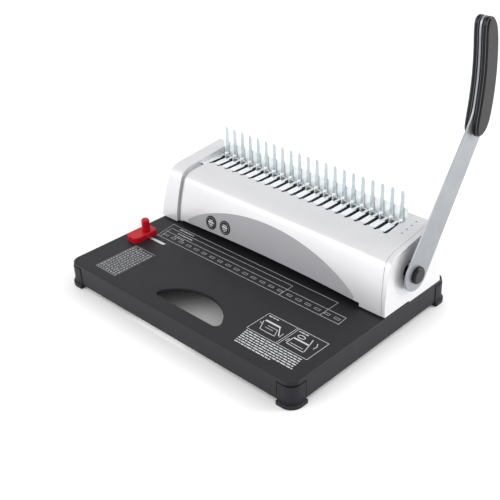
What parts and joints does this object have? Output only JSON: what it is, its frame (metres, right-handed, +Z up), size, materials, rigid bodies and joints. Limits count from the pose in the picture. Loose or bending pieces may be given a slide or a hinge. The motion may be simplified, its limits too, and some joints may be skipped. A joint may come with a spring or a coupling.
{
  "type": "comb binding machine",
  "caption": "Desktop comb binding machine: side lever drives a row of punches and a row of comb-opening hooks, on a base with edge guide, chip drawer and grip cut-out.",
  "frame": {"origin": "centre of the bounding box's bottom face, on the table under the rubber corners", "axes": "+X along the machine towards the lever, +Y away from the user, +Z up"},
  "size_m": [0.3856, 0.3222, 0.339],
  "materials": {
    "charcoal": "fine leather grain",
    "rubber_grey": "matte",
    "black_plastic": "matte",
    "screw_steel": "satin",
    "red_plastic": "satin",
    "tool_steel": "ground",
    "spring_steel": "bright",
    "frame_steel": "zinc plated",
    "bronze": "satin",
    "shaft_steel": "ground",
    "zinc_sheet": "blue zinc plated",
    "carriage_steel": "dark zinc plated",
    "slider_plastic": "satin",
    "white_plastic": "glossy",
    "grey_panel": "satin",
    "trim_grey": "satin",
    "lever_paint": "satin",
    "grip_plastic": "fine lengthwise grooves"
  },
  "bodies": {
    "machine": {"base_shell": "charcoal", "base_plate": "black_plastic", "base_screws": "screw_steel", "corner_front_left": "rubber_grey", "corner_front_right": "rubber_grey", "corner_back_left": "rubber_grey", "corner_back_right": "rubber_grey", "lower_die": "tool_steel", "paper_stop": "tool_steel", "die_spacers": "tool_steel", "upper_guide_plate": "tool_steel", "die_screws": "screw_steel", "punch_rods": "shaft_steel", "return_springs": "spring_steel", "left_frame": "frame_steel", "right_frame": "frame_steel", "frame_screws": "screw_steel", "tie_bar": "frame_steel", "left_bushing": "bronze", "right_bushing": "bronze", "left_rail": "frame_steel", "right_rail": "frame_steel", "left_bracket": "frame_steel", "right_bracket": "frame_steel", "slotted_plate": "zinc_sheet", "back_rail": "zinc_sheet", "tines": "zinc_sheet", "main_cover": "white_plastic", "front_panel": "grey_panel", "icon_discs": "black_plastic", "left_end_cap": "white_plastic", "left_trim": "trim_grey", "right_end_cap": "white_plastic", "rear_cover": "white_plastic", "cover_screws": "screw_steel", "throat_liner": "black_plastic"},
    "lever": {"lever_hub": "black_plastic", "lever_bar": "lever_paint", "lever_bolt": "screw_steel", "pivot_cap": "black_plastic", "grip_inner": "grip_plastic", "grip_outer": "grip_plastic", "grip_screws": "screw_steel", "main_shaft": "shaft_steel", "shaft_clips": "screw_steel", "left_cam": "tool_steel", "right_cam": "tool_steel", "left_gear": "tool_steel", "right_gear": "tool_steel"},
    "punch": {"punch_bar": "tool_steel", "punches": "tool_steel"},
    "hooks": {"hook_carriage": "carriage_steel", "hooks": "zinc_sheet", "left_rack": "tool_steel", "right_rack": "tool_steel"},
    "guide": {"edge_guide": "red_plastic", "guide_nut": "slider_plastic"},
    "knob": {"guide_knob": "red_plastic"},
    "tray": {"chip_tray": "black_plastic"}
  },
  "joints": [
    {"name": "lever_turn", "type": "hinge", "parent": "machine", "child": "lever", "pos_m": [-0.0052, 0.0429, 0.0705], "axis": [1, 0, 0], "range_deg": [0, 80]},
    {"name": "punch_stroke", "type": "slide", "parent": "machine", "child": "punch", "axis": [0, 0, -1], "range_m": [0, 0.0102], "deforming": ["return_springs"]},
    {"name": "hook_travel", "type": "slide", "parent": "machine", "child": "hooks", "axis": [0, -1, 0], "range_m": [0, 0.0264]},
    {"name": "guide_slide", "type": "slide", "parent": "machine", "child": "guide", "axis": [1, 0, 0], "range_m": [-0.003, 0.026]},
    {"name": "knob_turn", "type": "hinge", "parent": "guide", "child": "knob", "pos_m": [-0.1652, -0.0561, 0.045], "axis": [0, 0, 1], "range_deg": [-360, 360]},
    {"name": "tray_slide", "type": "slide", "parent": "machine", "child": "tray", "axis": [-1, 0, 0], "range_m": [0, 0.3]}
  ],
  "couplings": [
    {"joint": "punch_stroke", "follows": "lever_turn", "m_per_rad": 0.0072},
    {"joint": "hook_travel", "follows": "lever_turn", "m_per_rad": 0.01875}
  ]
}
